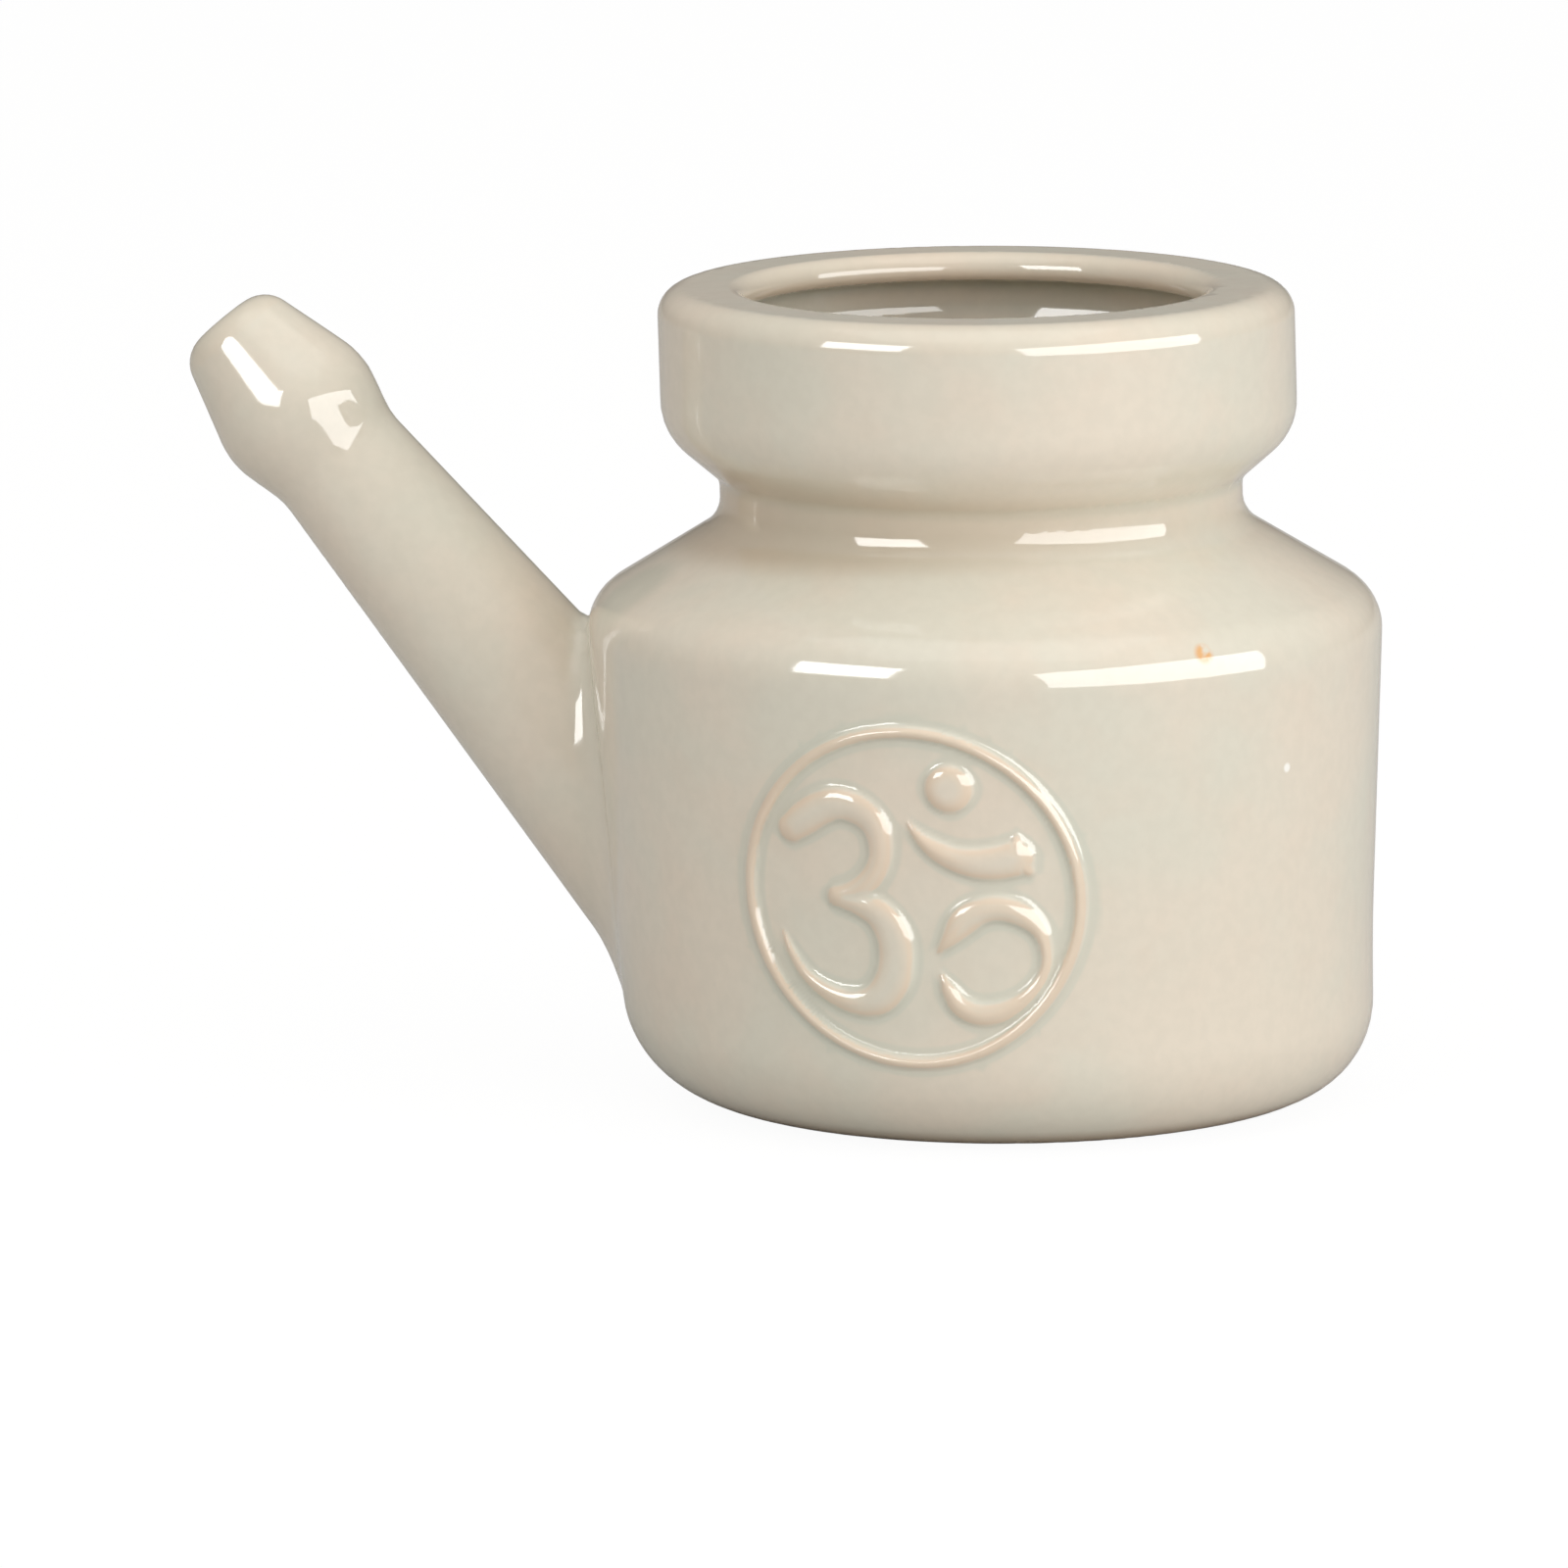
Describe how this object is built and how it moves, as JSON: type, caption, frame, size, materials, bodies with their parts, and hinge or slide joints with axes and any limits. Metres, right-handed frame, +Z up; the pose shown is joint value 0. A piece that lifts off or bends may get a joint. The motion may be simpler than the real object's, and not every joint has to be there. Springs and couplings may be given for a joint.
{
  "type": "neti pot",
  "caption": "Glazed ceramic nasal rinsing pot with a hollow round body, wide collared mouth, sloping bulb-tipped spout and a raised sign in a ring on its front",
  "frame": {"origin": "centre of the foot, in the plane that the pot stands on and on the body's upright axis", "axes": "+Z is up along the body's axis, the spout points towards -X, and the raised sign faces -Y"},
  "size_m": [0.1379, 0.0909, 0.0923],
  "materials": {
    "glaze": "glossy cream glaze"
  },
  "bodies": {
    "root": {"pot": "glaze"}
  },
  "joints": []
}
